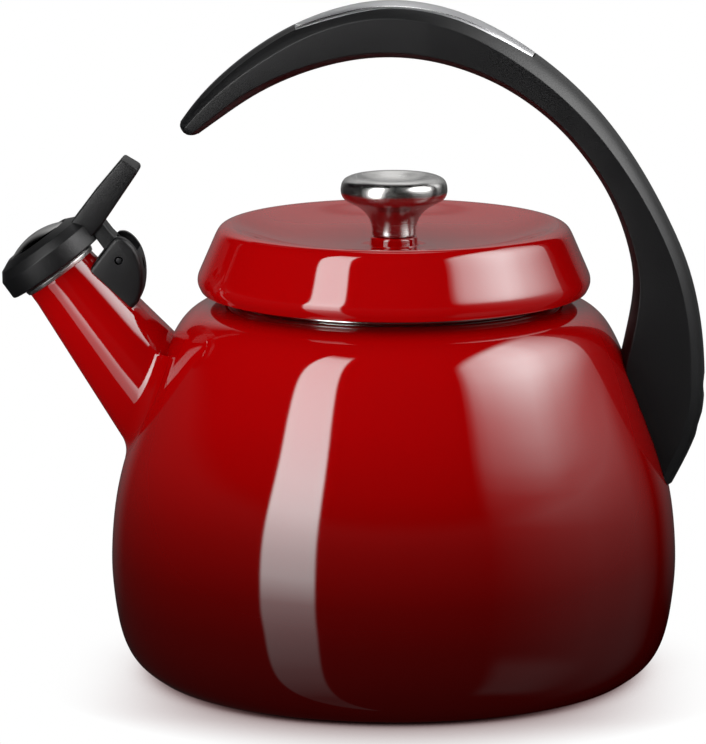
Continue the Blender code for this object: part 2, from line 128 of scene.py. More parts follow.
class Finish:
    """A Principled material whose patterns are built from nodes."""

    def __init__(self, name, **fixed):
        self.material = bpy.data.materials.new(name)
        self.material.use_nodes = True
        self.tree = self.material.node_tree
        self.shader = self.tree.nodes["Principled BSDF"]
        self.set(**fixed)

    def node(self, kind, settings=None, values=None, out=0):
        made = self.tree.nodes.new(kind)
        for key, value in (settings or {}).items():
            if key == "stops":
                stops = made.color_ramp.elements
                while len(stops) < len(value):
                    stops.new(1.0)
                for stop, (place, colour) in zip(stops, value):
                    stop.position, stop.color = place, (*colour, 1.0)
            else:
                setattr(made, key, value)
        for key, value in (values or {}).items():
            self.feed(made.inputs[key], value)
        return Flow(self, made.outputs[out])

    def feed(self, socket, value):
        if isinstance(value, Flow):
            self.tree.links.new(value.socket, socket)
        else:
            socket.default_value = value

    def set(self, **values):
        for key, value in values.items():
            if isinstance(value, tuple) and len(value) == 3 and "color" in key:
                value = (*value, 1.0)
            socket = key.replace("_", " ").title().replace("Ior", "IOR")
            self.feed(self.shader.inputs[socket], value)

    def place(self):
        return self.node("ShaderNodeTexCoord", out="Object")

    def along(self, axis):
        return self.node("ShaderNodeSeparateXYZ", values={0: self.place()}, out=axis)

    def noise(self, scale, detail=3.0, stretch=(1, 1, 1)):
        where = self.node("ShaderNodeMapping", values={"Vector": self.place(), "Scale": stretch})
        return self.node("ShaderNodeTexNoise", values={"Vector": where, "Scale": scale,
                                                       "Detail": detail})

    def mixed(self, first, second, share):
        first, second = [c if isinstance(c, Flow) else (*c, 1.0) for c in (first, second)]
        made = self.tree.nodes.new("ShaderNodeMix")
        made.data_type = "RGBA"
        for key, value in ((0, share), (6, first), (7, second)):
            self.feed(made.inputs[key], value)
        return Flow(self, made.outputs[2])

    def bumps(self, height, depth):
        """Normal for a height of 0 to 1 that stands `depth` metres proud."""
        return self.node("ShaderNodeBump", values={"Height": height, "Distance": depth})

    def on(self, thing):
        thing.data.materials.clear()
        thing.data.materials.append(self.material)


def lathe_steel(name, grain=5200.0, depth=0.000004, rough=0.2, colour=(0.60, 0.59, 0.575)):
    """Stainless steel with the fine rings of a lathe round the Z axis."""
    steel = Finish(name, base_color=colour, metallic=1.0)
    x, y = steel.along("X"), steel.along("Y")
    radius = (x * x + y * y) ** 0.5
    reach = radius + 0.7 * steel.along("Z")
    rings = steel.node("ShaderNodeTexNoise", {"noise_dimensions": "1D"},
                       {"W": reach * grain, "Scale": 1.0, "Detail": 2.0})
    haze = steel.noise(160, detail=4.0)
    steel.set(roughness=rough + 0.10 * haze + 0.08 * rings, normal=steel.bumps(rings, depth))
    return steel


plate_outline = rounded([(0, 0.5, 0), (70.0, 0.5, 0.4), (71.0, 0.0, 0.4), (81.5, 0.0, 0.6),
                         (81.5, 2.0, 0.3), (0, 2.0, 0)])
plate = piece("foot_disc", turned(plate_outline))
base_steel = lathe_steel("base_steel", rough=0.3)
base_steel.on(plate)
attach(plate, "kettle")
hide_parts("base_plate")

# ---- body ----
# A single deep-drawn steel shell: flat floor, full belly, and shoulders that turn in
# to the neck. It is dipped in vitreous enamel inside and out. Its colour runs from a
# dark maroon at the foot to bright red above the belly. This is partly the sprayed top
# coat's own shading and partly painted shade, which darkens the lower body where it
# turns away from the light.


def smooth_curve(knots, steps):
    """Run through (x, z) knots with even bends, `steps` points to each stretch."""
    knots = [Vector(k) for k in knots]
    last = len(knots) - 1
    slopes = [knots[min(i + 1, last)] - knots[max(i - 1, 0)] for i in range(last + 1)]
    for _ in range(25):
        for i in range(last + 1):
            before, after = slopes[max(i - 1, 0)], slopes[min(i + 1, last)]
            if i in (0, last):
                slopes[i] = (3 * (knots[1] - knots[0]) - after if i == 0 else
                             3 * (knots[-1] - knots[-2]) - before) / 2
            else:
                slopes[i] = (3 * (knots[i + 1] - knots[i - 1]) - before - after) / 4
    run = []
    for a, b, go, come in zip(knots, knots[1:], slopes, slopes[1:]):
        for i in range(steps):
            t = i / steps
            run.append(a + go * t + (3 * (b - a) - 2 * go - come) * t * t
                       + (2 * (a - b) + go + come) * t ** 3)
    return run + [knots[-1]]


def offset(run, distance):
    """Move an open run sideways, to the left of its direction."""
    moved = []
    for i, point in enumerate(run):
        way = (run[min(i + 1, len(run) - 1)] - run[max(i - 1, 0)]).normalized()
        moved.append(point + Vector((-way.y, way.x)) * distance)
    return moved


def carve(target, tool, operation="DIFFERENCE"):
    """Cut one object with another, or join them, and throw the tool away."""
    cut = target.modifiers.new("carve", "BOOLEAN")
    cut.operation, cut.solver, cut.object = operation, "EXACT", tool
    graph = bpy.context.evaluated_depsgraph_get()
    shaped = bpy.data.meshes.new_from_object(target.evaluated_get(graph))
    target.modifiers.clear()
    plain = target.data
    target.data = shaped
    shaped.name = target.name
    bpy.data.meshes.remove(plain)
    bpy.data.objects.remove(tool, do_unlink=True)


def drilled(radius, start, end, sides=24):
    """A round rod between two points in millimetres, to drill or to pin with."""
    form = bmesh.new()
    start, end = Vector(start), Vector(end)
    turn = (end - start).to_track_quat("Z", "Y").to_matrix().to_4x4()
    bmesh.ops.create_cone(form, cap_ends=True, segments=sides, radius1=radius, radius2=radius,
                          depth=(end - start).length,
                          matrix=Matrix.Translation((start + end) / 2) @ turn)
    return form


wall = 1.5
body_side = smooth_curve([(85.6, 0.6), (92.3, 6.0), (97.1, 16.2), (99.5, 31.0), (100.0, 44.0),
                          (98.4, 62.0), (94.0, 80.0), (87.4, 98.0), (80.7, 114.5),
                          (74.6, 125.6), (67.0, 131.2), (58.2, 133.4)], 12)
inner_side = [p for p in offset(body_side, wall)[::5] if 5.5 < p.y < 131.2]
foot_rim = [(0, 2.3), (81.8, 2.3), (81.8, 1.0), (82.1, 0.7), (82.6, 0.6), (84.2, 0.5)]
body_outline = ([Vector(p) for p in foot_rim] + body_side
                + [Vector(p) for p in ((57.2, 133.3), (56.6, 132.7), (56.6, 131.9))]
                + inner_side[::-1] + [Vector((81.0, 3.8)), Vector((0, 3.8))])
body = piece("kettle_body", turned(body_outline, 256))

mouth = Vector((-118.7, 0.0, 142.8))
spout_tilt = radians(36)
across = Vector((cos(spout_tilt), 0, sin(spout_tilt)))
up = Vector((-sin(spout_tilt), 0, cos(spout_tilt)))
side = Vector((0, 1, 0))


def by_spout(n, y, h):
    """A point given from the centre of the spout's mouth, n across and h up its axis."""
    return mouth + across * n + side * y + up * h


strainer = bmesh.new()
for k in range(7):
    reach = 9.6 if k else 0.0
    n, y = reach * cos(k * tau / 6), reach * sin(k * tau / 6)
    hole = drilled(3.4, by_spout(n + 1.5, y, -30.0), by_spout(n + 4.3, y, -86.0))
    mesh = bpy.data.meshes.new("hole")
    hole.to_mesh(mesh)
    hole.free()
    strainer.from_mesh(mesh)
    bpy.data.meshes.remove(mesh)
carve(body, piece("strainer_tool", strainer))
body.data.set_sharp_from_angle(angle=radians(32))

enamel = Finish("red_enamel", specular_ior_level=0.5, ior=1.5, specular_tint=(0.80, 1.0, 1.0, 1.0))
height = enamel.along("Z") * 1000.0
# colour ramp up the height: partly the coat's own shading, partly painted shade, darker towards the
# foot
coat_and_painted_shade = enamel.node("ShaderNodeValToRGB", {"stops": [
    (0.00, (0.014, 0.0006, 0.0006)), (0.10, (0.019, 0.0005, 0.0005)),
    (0.22, (0.0285, 0.0003, 0.0003)), (0.34, (0.046, 0.0001, 0.0001)),
    (0.50, (0.090, 0.0001, 0.0001)), (0.66, (0.151, 0.0001, 0.0002)),
    (0.82, (0.196, 0.0001, 0.0004)), (1.00, (0.226, 0.0002, 0.0005))]},
    {"Fac": (height + 2.0 * (enamel.noise(34.0) - 0.5)) / 125.0})
cloud = enamel.noise(90.0, detail=5.0)
speck = enamel.noise(1400.0, detail=2.0).between(0.70, 0.78)
tint = enamel.mixed(coat_and_painted_shade, (0.05, 0.0002, 0.0003), 0.05 * cloud + 0.12 * speck)
peel = 0.6 * enamel.noise(75.0, detail=1.0) + 0.4 * enamel.noise(260.0, detail=1.0)
enamel.set(base_color=tint, roughness=0.03 + 0.03 * cloud, normal=enamel.bumps(peel, 0.000002))
enamel.on(body)
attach(body, "kettle")
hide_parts("body_shell")

# ---- neck ring ----
# A rolled band of polished stainless steel crimped into the opening of the body. It
# hides the raw edge of the enamel, and the lid rests on it.
ring_outline = rounded([(55.0, 127.4, 0), (56.2, 127.4, 0), (56.2, 133.7, 0), (57.9, 133.7, 0.3),
                        (58.8, 134.5, 0.6), (58.1, 135.45, 0.4), (55.0, 135.45, 0.6)])
neck = piece("neck_band", turned(ring_outline))
neck_steel = lathe_steel("neck_steel", rough=0.08, depth=0.000001)
neck_steel.on(neck)
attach(neck, "kettle")
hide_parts("neck_ring")

# ---- spout ----
# A short tapered tube welded to the shoulder, leaning out from the body. The weld is
# dressed to a smooth hollow and enamelled with the body, so the two read as one.


def skinned(rings, closed=False):
    """Skin a row of rings with equal point counts; the ends are capped or joined."""
    form = bmesh.new()
    loops = []
    for ring in rings:
        points = [form.verts.new(p) for p in ring]
        loops.append([form.edges.new(pair) for pair in zip(points, points[1:] + points[:1])])
    for here, there in zip(loops, loops[1:] + (loops[:1] if closed else [])):
        bmesh.ops.bridge_loops(form, edges=here + there)
    if not closed:
        for end in (loops[0], loops[-1]):
            bmesh.ops.contextual_create(form, geom=end)
    return form


def on_body(point, lift=0.0):
    """The nearest place on the body's outer side, or `lift` outside it."""
    flat = Vector((Vector(point[:2]).length, point[2]))
    k = min(range(1, len(fine_side) - 1), key=lambda i: (fine_side[i] - flat).length)
    way = (fine_side[k + 1] - fine_side[k - 1]).normalized()
    spot = fine_side[k] + way * (flat - fine_side[k]).dot(way)
    spot += Vector((way.y, -way.x)) * lift
    aim = Vector(point[:2]).normalized()
    return Vector((aim.x * spot.x, aim.y * spot.x, spot.y))


fine_side = smooth_curve(body_side, 3)
spout_sides = 96


def tube_point(angle, h, thick=0.0):
    radius = 12.9 - 0.118 * h - thick
    return by_spout(radius * cos(angle) - 0.05 * h, radius * sin(angle), h)


def meets_body(angle, thick=0.0):
    """How far down the tube its wall runs into the body."""
    high, low = -5.0, -75.0
    for _ in range(30):
        middle = (high + low) / 2
        point = tube_point(angle, middle, thick)
        outside = (point - on_body(point, -5.0)).length > 5.0
        high, low = (middle, low) if outside else (high, middle)
    return middle


angles = [tau * i / spout_sides for i in range(spout_sides)]
outer_foot = {a: meets_body(a) for a in angles}
inner_foot = {a: meets_body(a, 1.3) for a in angles}
lip = -1.3
spout_rows = [[tube_point(a, lip - 0.25, 1.3) for a in angles],
              [by_spout(11.9 * cos(a), 11.9 * sin(a), lip) for a in angles],
              [by_spout(13.2 * cos(a), 13.2 * sin(a), lip) for a in angles],
              [by_spout(13.3 * cos(a), 13.3 * sin(a), lip - 0.9) for a in angles],
              [tube_point(a, -5.5) for a in angles], [tube_point(a, -9.0) for a in angles]]
fillet = {a: 6.5 + 2.5 * cos(a) for a in angles}
start = {a: tube_point(a, outer_foot[a] + fillet[a]) for a in angles}
corner = {a: tube_point(a, outer_foot[a]) for a in angles}
landing, pull = {}, {}
for a in angles:
    core = by_spout(-0.05 * outer_foot[a], 0, outer_foot[a])
    outward = (corner[a] - core).normalized()
    outward = (on_body(corner[a] + outward) - on_body(corner[a])).normalized()
    landing[a] = on_body(corner[a] + outward * fillet[a], 0.05)
    tangent = (landing[a] - on_body(landing[a] - outward, 0.05)).normalized()
    pull[a] = landing[a] - tangent * (landing[a] - corner[a]).length * 0.62
for share in (0.25, 0.5, 0.75):
    spout_rows.append([tube_point(a, -9.0).lerp(start[a], share) for a in angles])
for i in range(15):
    t = i / 14
    spout_rows.append([start[a] * (1 - t) ** 3
                       + start[a].lerp(corner[a], 0.62) * 3 * t * (1 - t) ** 2
                       + pull[a] * 3 * t * t * (1 - t) + landing[a] * t ** 3 for a in angles])
spout_rows.append([on_body(landing[a], -0.5) for a in angles])
spout_rows.append([on_body(tube_point(a, inner_foot[a], 1.3), -0.5) for a in angles])
spout_rows.append([tube_point(a, inner_foot[a] + 2.0, 1.3) for a in angles])
spout = piece("spout", skinned(spout_rows, closed=True), crease=50)
enamel.on(spout)
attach(spout, "kettle")
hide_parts("spout_tube")

# ---- spout collar ----
# A bright steel ring rolled over the raw lip of the spout. The whistle seats on it.


def laid(form, matrix):
    bmesh.ops.transform(form, matrix=matrix, verts=form.verts)
    return form


spout_frame = Matrix.Translation(mouth) @ Matrix.Rotation(-spout_tilt, 4, "Y")
collar_outline = rounded([(10.2, -6.0, 0), (11.0, -6.0, 0), (11.0, -1.0, 0), (13.4, -1.0, 0),
                          (13.4, -1.5, 0.1), (13.8, -1.5, 0.2), (14.2, -0.2, 0.4), (13.8, 0.6, 0.4),
                          (10.2, 0.6, 0.6)])
collar = piece("spout_collar", laid(turned(collar_outline, 96), spout_frame))
collar_steel = Finish("collar_steel", base_color=(0.66, 0.65, 0.64), metallic=1.0)
collar_haze = collar_steel.noise(900.0, stretch=(1, 1, 4))
collar_steel.set(roughness=0.34 + 0.16 * collar_haze,
                 normal=collar_steel.bumps(collar_haze, 0.00002))
collar_steel.on(collar)
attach(collar, "kettle")
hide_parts("mouth_collar")

# ---- handle grip ----
# One tall arch moulded in black phenolic, open at the spout end. The outer face is
# crowned across the hand, the cheeks are flat, and a fine ridge runs where they meet.
grip_outer = smooth_curve([(-75.2, 195.9), (-66.8, 206.5), (-53.1, 218.9), (-35.2, 230.2),
                           (-15.3, 237.3), (4.0, 238.8), (24.5, 234.3), (43.7, 224.5),
                           (60.4, 212.0), (75.0, 196.8), (87.3, 179.2), (96.8, 161.7),
                           (104.1, 144.2), (108.4, 125.0), (109.8, 106.0), (107.6, 88.0),
                           (98.9, 68.9)], 6)
grip_inner = smooth_curve([(-68.6, 191.6), (-59.5, 198.2), (-47.0, 206.4), (-31.0, 213.6),
                           (-14.0, 218.0), (2.0, 219.0), (17.5, 216.8), (33.0, 211.4),
                           (46.6, 203.6), (59.0, 193.2), (69.4, 180.6), (77.0, 167.6),
                           (82.4, 152.4), (84.0, 136.4), (80.6, 117.0), (78.0, 96.0),
                           (80.0, 66.0)], 6)
label_first, label_last = 18, 44
label_half, label_thick = 7.5, 0.7


def grip_half(i):
    swell = min(1.0, i / (len(grip_outer) - 1) / 0.35)
    return (13.0 + 11.0 * swell ** 0.7) / 2


def label_width(i):
    """Half width of the label at station i, drawn in at both ends."""
    near_end = min(i - label_first, label_last - i) / 5.0
    return label_half * (0.72 + 0.28 * min(1.0, max(0.0, near_end)) ** 0.6)


def crowned(i, across_share, depth):
    return depth - min(5.2, depth * 0.34) * abs(across_share) ** 2.3


def grip_ring(i, sunk=0.0, inset=0.0, push=0.0):
    inner, outer = grip_inner[i], grip_outer[i]
    depth = (outer - inner).length
    rise = (outer - inner) / depth
    half, slot = grip_half(i), label_width(i) + 0.25
    hollow = min(2.8, depth * 0.22)
    outer_half = [(half, crowned(i, 1.0, depth), 0.7)]
    outer_half += [(half * s, crowned(i, s, depth), 0) for s in (0.96, 0.9, 0.82, 0.74)]
    outer_half += [(slot, crowned(i, slot / half, depth), 0),
                   (slot - 0.05, crowned(i, slot / half, depth) - sunk, 0)]
    outer_half += [(slot * s, crowned(i, slot * s / half, depth) - sunk, 0) for s in (0.66, 0.33)]
    inner_half = [(half * s, hollow * s ** 2.3, 0) for s in (0.2, 0.4, 0.6, 0.75, 0.88)]
    inner_half += [(half, hollow, 0.6)]
    right = inner_half + outer_half
    section = rounded(right + [(-x, z, radius) for x, z, radius in right[::-1]], steps=4)
    middle = (inner + outer) / 2 + Vector((-0.66, -0.75)) * push
    ring = []
    for x, z in section:
        spot = middle + rise * ((z - depth / 2) * (1 - 2 * inset / depth))
        ring.append((spot.x, x * (1 - inset / half), spot.y))
    return ring


nose = 3.3
grip_rows = [grip_ring(0, inset=nose * (1 - cos(radians(t))), push=nose * sin(radians(t)) - 0.9)
             for t in (86, 74, 62, 50, 38, 27, 18)]
floor_depth = label_thick + 0.15
for i in range(len(grip_outer)):
    sunk = floor_depth if label_first < i < label_last else 0.0
    if i in (label_first + 1, label_last):
        near_end = 0.98 if i == label_last else 0.02
        pairs = zip(grip_ring(i - 1, floor_depth - sunk), grip_ring(i, floor_depth - sunk))
        grip_rows.append([Vector(p).lerp(Vector(q), near_end) for p, q in pairs])
    grip_rows.append(grip_ring(i, sunk))
grip = piece("handle", skinned(grip_rows), crease=28)
body_plug = [Vector((0, 0.5))] + offset(body_side, -0.15) + [Vector((0, 133.5))]
carve(grip, piece("body_plug", turned(body_plug)))

phenolic = Finish("black_phenolic", specular_ior_level=0.32)
grain = phenolic.noise(1900.0, detail=2.0)
cast = phenolic.noise(55.0, detail=3.0)
phenolic.set(base_color=phenolic.mixed((0.0004, 0.0004, 0.0005), (0.0022, 0.0022, 0.0024),
                                       0.7 * grain + 0.3 * cast),
             roughness=0.36 + 0.10 * cast + 0.10 * grain, normal=phenolic.bumps(grain, 0.00006))

# ---- handle bracket and screws ----
# A steel lug welded to the body stands inside the foot of the grip. Two pan-head
# screws, sunk in counterbores behind, draw the grip onto it.
screw_heights = (104.0, 90.0)
for z in screw_heights:
    carve(grip, piece("counterbore", drilled(4.4, (103.0, 0, z), (125.0, 0, z), 48)))
    carve(grip, piece("clearance", drilled(2.4, (95.0, 0, z), (110.0, 0, z))))
lug_pocket = bmesh.new()
bmesh.ops.create_cube(lug_pocket, size=1.0, matrix=Matrix.Translation((85.2, 0, 97.0))
                      @ Matrix.Diagonal((30.4, 10.6, 28.8, 1)))
carve(grip, piece("lug_pocket", lug_pocket))
grip.data.set_sharp_from_angle(angle=radians(28))
phenolic.on(grip)
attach(grip, "kettle")
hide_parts("handle_grip")

zinc = Finish("zinc_plate", metallic=1.0)
zinc_cloud = zinc.noise(420.0, detail=4.0)
zinc.set(base_color=zinc.mixed((0.30, 0.30, 0.31), (0.42, 0.42, 0.43), zinc_cloud),
         roughness=0.28 + 0.2 * zinc_cloud, normal=zinc.bumps(zinc_cloud, 0.00001))
zinc.on(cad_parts["handle_bracket"])
for name, z in zip(("upper", "lower"), screw_heights):
    outline = rounded([(0, 94.5, 0), (2.0, 94.5, 0.4), (2.0, 103.3, 0), (4.0, 103.3, 0.2),
                       (4.0, 104.6, 0.9), (2.6, 106.0, 1.2), (0, 106.0, 0)])
    lying = Matrix.Translation((0, 0, z)) @ Matrix.Rotation(pi / 2, 4, "Y")
    screw = piece("grip_screw_" + name, laid(turned(outline, 48), lying))
    for turn in (0, pi / 2):
        slot_tool = bmesh.new()
        bmesh.ops.create_cube(slot_tool, size=1.0, matrix=Matrix.Translation((105.9, 0, z))
                              @ Matrix.Rotation(turn + pi / 4, 4, "X")
                              @ Matrix.Diagonal((2.2, 0.9, 4.2, 1)))
        carve(screw, piece("driver_slot", slot_tool))
    screw.data.set_sharp_from_angle(angle=radians(32))
    zinc.on(screw)
    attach(screw, "kettle")
    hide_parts("handle_screw_" + name)

# ---- handle label ----
# A thin silver plate bent to the crown of the grip and pressed into its recess. The
# face is satin, with a fine bright line following its edge, and is left blank.
plate_rows = []
for i in range(label_first, label_last + 1):
    share = {label_first: 0.12, label_last: 0.88}.get(i)
    inner, outer = grip_inner[i], grip_outer[i]
    depth = (outer - inner).length
    rise = (outer - inner) / depth
    half, wide = grip_half(i), label_width(i)
    faces = [(wide * s, crowned(i, wide * s / half, depth) - drop) for s, drop in
             ((-1, label_thick), (-1, 0.15), (-0.97, 0.0), (-0.8, -0.05), (-0.5, -0.05), (0, -0.05),
              (0.5, -0.05), (0.8, -0.05), (0.97, 0.0), (1, 0.15), (1, label_thick),
              (0.5, label_thick), (0, label_thick), (-0.5, label_thick))]
    ring = []
    for x, z in faces:
        spot = inner + rise * z
        ring.append(Vector((spot.x, x, spot.y)))
    plate_rows.append(ring)
for end, beside in ((0, 1), (-1, -2)):
    plate_rows[end] = [p.lerp(q, 0.15) for p, q in zip(plate_rows[end], plate_rows[beside])]
label = piece("grip_label", skinned(plate_rows))
margin = label.data.attributes.new("margin", "FLOAT", "POINT")
ends = [grip_outer[i] for i in (label_first, label_last)]
for vertex, value in zip(label.data.vertices, margin.data):
    spot = Vector((vertex.co.x, vertex.co.z)) * 1000
    i = min(range(label_first, label_last + 1), key=lambda k: (grip_outer[k] - spot).length)
    value.value = min(label_width(i) - abs(vertex.co.y) * 1000, *[(spot - e).length for e in ends])
silver = Finish("label_silver", metallic=1.0)
edge = silver.node("ShaderNodeAttribute", {"attribute_name": "margin"}, out="Fac")
line = edge.between(0.75, 0.95) * (1 - edge.between(1.25, 1.45))
brush = silver.noise(600.0, detail=3.0, stretch=(0.06, 3.0, 0.06))
silver.set(base_color=silver.mixed(silver.mixed((0.36, 0.36, 0.37), (0.46, 0.46, 0.47), brush),
                                   (0.80, 0.80, 0.80), line),
           roughness=0.34 - 0.14 * line + 0.10 * brush, normal=silver.bumps(brush, 0.000006))
silver.on(label)
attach(label, "kettle")
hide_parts("handle_label")

# ---- hinge block ----
# A rounded knuckle moulded in the same black phenolic. It saddles the spout, is held
# by a stud and nut at the bottom of its slot, and carries the steel pin of the whistle.


def slab(outline, half_width):
    """Extrude an (x, z) outline to both sides of the plane of symmetry."""
    form = bmesh.new()
    face = form.faces.new([form.verts.new((x, -half_width, z)) for x, z in outline])
    grown = bmesh.ops.extrude_face_region(form, geom=[face])["geom"]
    far = [item for item in grown if isinstance(item, bmesh.types.BMVert)]
    bmesh.ops.translate(form, verts=far, vec=(0, 2 * half_width, 0))
    return form


def softened(form, width, segments=4):
    """Round the rims of a slab, where its cheeks meet its edge."""
    rims = [e for e in form.edges if abs(e.verts[0].co.y - e.verts[1].co.y) < 1e-6]
    bmesh.ops.bevel(form, geom=rims, affect="EDGES", offset=width, offset_type="OFFSET",
                    segments=segments, profile=0.5, material=-1, clamp_overlap=False)
    return form


knuckle_outline = ([Vector((7.0, -6.9)), Vector((22.4, -2.3))]
                   + smooth_curve([(24.4, -2.1), (26.4, -3.6), (27.6, -7.0), (27.3, -12.0),
                                   (24.7, -18.0), (20.6, -23.0), (17.2, -25.4)], 5)
                   + [Vector((13.0, -26.2)), Vector((7.0, -22.0))])
knuckle = piece("hinge_knuckle", laid(softened(slab(knuckle_outline, 9.6), 1.6), spout_frame))
slot_outline = rounded([(16.0, 4.0, 0), (16.3, -9.0, 0), (18.0, -18.5, 0), (19.4, -20.4, 0),
                        (22.6, -17.0, 0), (25.0, -12.6, 0), (25.6, -10.6, 0), (34.0, -10.6, 0),
                        (34.0, 4.0, 0)])
carve(knuckle, piece("slot_tool", laid(slab(slot_outline, 5.9), spout_frame)))
saddle_rows = [[tube_point(a, h, -0.3) for a in angles] for h in (6.0, -20.0, -60.0)]
carve(knuckle, piece("saddle_tool", skinned(saddle_rows)))
pin_at = (20.7, -9.3)
pin_ends = [by_spout(pin_at[0], y, pin_at[1]) for y in (-15, 15)]
pin_bore = 1.5
carve(knuckle, piece("bore_tool", drilled(pin_bore, *pin_ends)))
stud_ends = [by_spout(n, 0, -15.8) for n in (0, 30)]
carve(knuckle, piece("stud_tool", drilled(1.9, *stud_ends)))
knuckle.data.set_sharp_from_angle(angle=radians(40))
phenolic.on(knuckle)
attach(knuckle, "kettle")
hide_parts("hinge_block")

# ---- hinge pin, stud and nut ----
# Small turned steel parts: the pin is pressed through both cheeks of the knuckle and
# sits a little below them, the welded stud and its nut lie in the slot.
pin_outline = rounded([(0, -8.8, 0), (1.2, -8.8, 0.3), (1.2, 8.8, 0.3), (0, 8.8, 0)], steps=3)
pin_frame = spout_frame @ Matrix.Translation((pin_at[0], 0, pin_at[1]))
pin = piece("whistle_pin", laid(turned(pin_outline, 32),
                                pin_frame @ Matrix.Rotation(pi / 2, 4, "X")))
oxide = Finish("black_oxide", metallic=1.0, specular_ior_level=0.3)
oxide_haze = oxide.noise(1500.0)
oxide.set(base_color=oxide.mixed((0.02, 0.02, 0.021), (0.05, 0.05, 0.052), oxide_haze),
          roughness=0.35 + 0.2 * oxide_haze, normal=oxide.bumps(oxide_haze, 0.00001))
oxide.on(pin)
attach(pin, "kettle")
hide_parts("hinge_pin")
for name in ("spout_stud", "stud_nut"):
    zinc.on(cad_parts[name])

# ---- whistle spring ----
# A torsion spring of plain steel wire: three turns round the pin, one leg against the
# floor of the slot and one against the whistle's arm, pressing the whistle shut.
wire, coil, turns, per_turn = 0.4, 2.3, 3, 24
spring_path = [Vector((-3.1, -1.7, -4.4))]
for i in range(turns * per_turn + 13):
    angle = pi + tau * i / per_turn
    spring_path.append(Vector((coil * cos(angle), -1.5 + 3.0 * i / (turns * per_turn + 12),
                               -coil * sin(angle))))
spring_path.append(Vector((coil + 0.1, 1.6, 6.6)))
spring_rows = []
for i, spot in enumerate(spring_path):
    ahead, behind = spring_path[min(i + 1, len(spring_path) - 1)], spring_path[max(i - 1, 0)]
    way = (ahead - behind).normalized()
    flat = way.cross(Vector((0, 1, 0))).normalized() * wire
    lift = flat.cross(way)
    spring_rows.append([spot + flat * cos(tau * k / 10) + lift * sin(tau * k / 10)
                        for k in range(10)])
spring = piece("torsion_spring", laid(skinned(spring_rows), pin_frame), crease=60)
zinc.on(spring)
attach(spring, "kettle")
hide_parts("whistle_spring")

# ---- whistle frame ----
# The moving black part: a stepped ring round the steel dome, a flat lever to lift it
# by the thumb, and a forked arm that reaches back down to the pin.
whistle_outline = rounded([(14.2, 0.9, 0.3), (18.9, 0.9, 0.7), (18.9, 7.7, 0.5), (16.7, 10.9, 0.6),
                           (12.4, 12.9, 0.35), (11.9, 12.5, 0.2), (11.9, 11.8, 0), (14.2, 11.8, 0)])
whistle = piece("whistle_cap", laid(turned(whistle_outline, 112), spout_frame))
lever_outline = rounded([(14.6, 2.2, 0), (14.6, 11.2, 0), (27.0, 15.0, 0), (42.5, 18.9, 1.0),
                         (45.4, 12.2, 1.6), (24.0, 4.4, 0)], steps=4)
lever = piece("lever_tool", laid(softened(slab(lever_outline, 7.0), 0.7, 3), spout_frame))
carve(whistle, lever, "UNION")
arm_end = [Vector((20.7 + 3.6 * cos(radians(a)), -9.3 + 3.6 * sin(radians(a))))
           for a in range(160, 371, 15)]
arm_outline = ([Vector((18.2, 4.6)), Vector((18.2, -4.0))] + arm_end
               + [Vector((24.2, -4.0)), Vector((23.6, 0.0)), Vector((23.4, 6.0))])
arm = piece("arm_tool", laid(softened(slab(arm_outline, 5.5), 0.5, 3), spout_frame))
carve(whistle, arm, "UNION")
fork_outline = [Vector(p) for p in ((8.0, -20.0), (30.0, -20.0), (30.0, -2.4), (8.0, -2.4))]
carve(whistle, piece("fork_tool", laid(slab(fork_outline, 2.7), spout_frame)))
carve(whistle, piece("arm_bore", drilled(pin_bore, *pin_ends)))
whistle.data.set_sharp_from_angle(angle=radians(30))
phenolic.on(whistle)
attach(whistle, "whistle")
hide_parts("whistle_frame")

# ---- whistle dome, plate and seal ----
# The sounding pair: a polished steel dome with a small hole over a flat plate with
# another. A ring of dark silicone below them seals on the collar of the spout.


def dome_arc(radius, degrees_up):
    return [Vector((radius * cos(radians(a)), -8.6 + radius * sin(radians(a))))
            for a in degrees_up]


dome_rim = [Vector(p) for p in ((11.7, 11.6), (13.8, 11.5), (13.8, 10.9), (10.9, 10.9))]
dome_outline = ([Vector((1.6, 15.1))] + dome_arc(24.0, range(84, 60, -3)) + dome_rim
                + dome_arc(23.4, range(63, 85, 3)) + [Vector((1.6, 14.6))])
dome = piece("sound_dome", laid(turned(dome_outline, 96), spout_frame))
dome_steel = Finish("dome_steel", base_color=(0.36, 0.355, 0.35), metallic=1.0)
dome_haze = dome_steel.noise(1200.0, detail=4.0)
dome_steel.set(roughness=0.10 + 0.08 * dome_haze, normal=dome_steel.bumps(dome_haze, 0.000003))
dome_steel.on(dome)
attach(dome, "whistle")
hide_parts("whistle_dome")
dome_steel.on(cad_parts["whistle_plate"])
seal_outline = rounded([(11.2, 1.4, 0.2), (12.0, 0.9, 0.3), (13.8, 0.9, 0.3), (13.8, 9.7, 0),
                        (12.6, 9.7, 0.3), (11.2, 4.0, 0.8)])
seal = piece("seal_ring", laid(turned(seal_outline, 96), spout_frame))
silicone = Finish("silicone", specular_ior_level=0.4)
dust = silicone.noise(700.0, detail=4.0)
silicone.set(base_color=silicone.mixed((0.035, 0.035, 0.04), (0.06, 0.06, 0.065), dust),
             roughness=0.6 + 0.2 * dust, normal=silicone.bumps(dust, 0.00003))
silicone.on(seal)
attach(seal, "whistle")
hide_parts("whistle_seal")

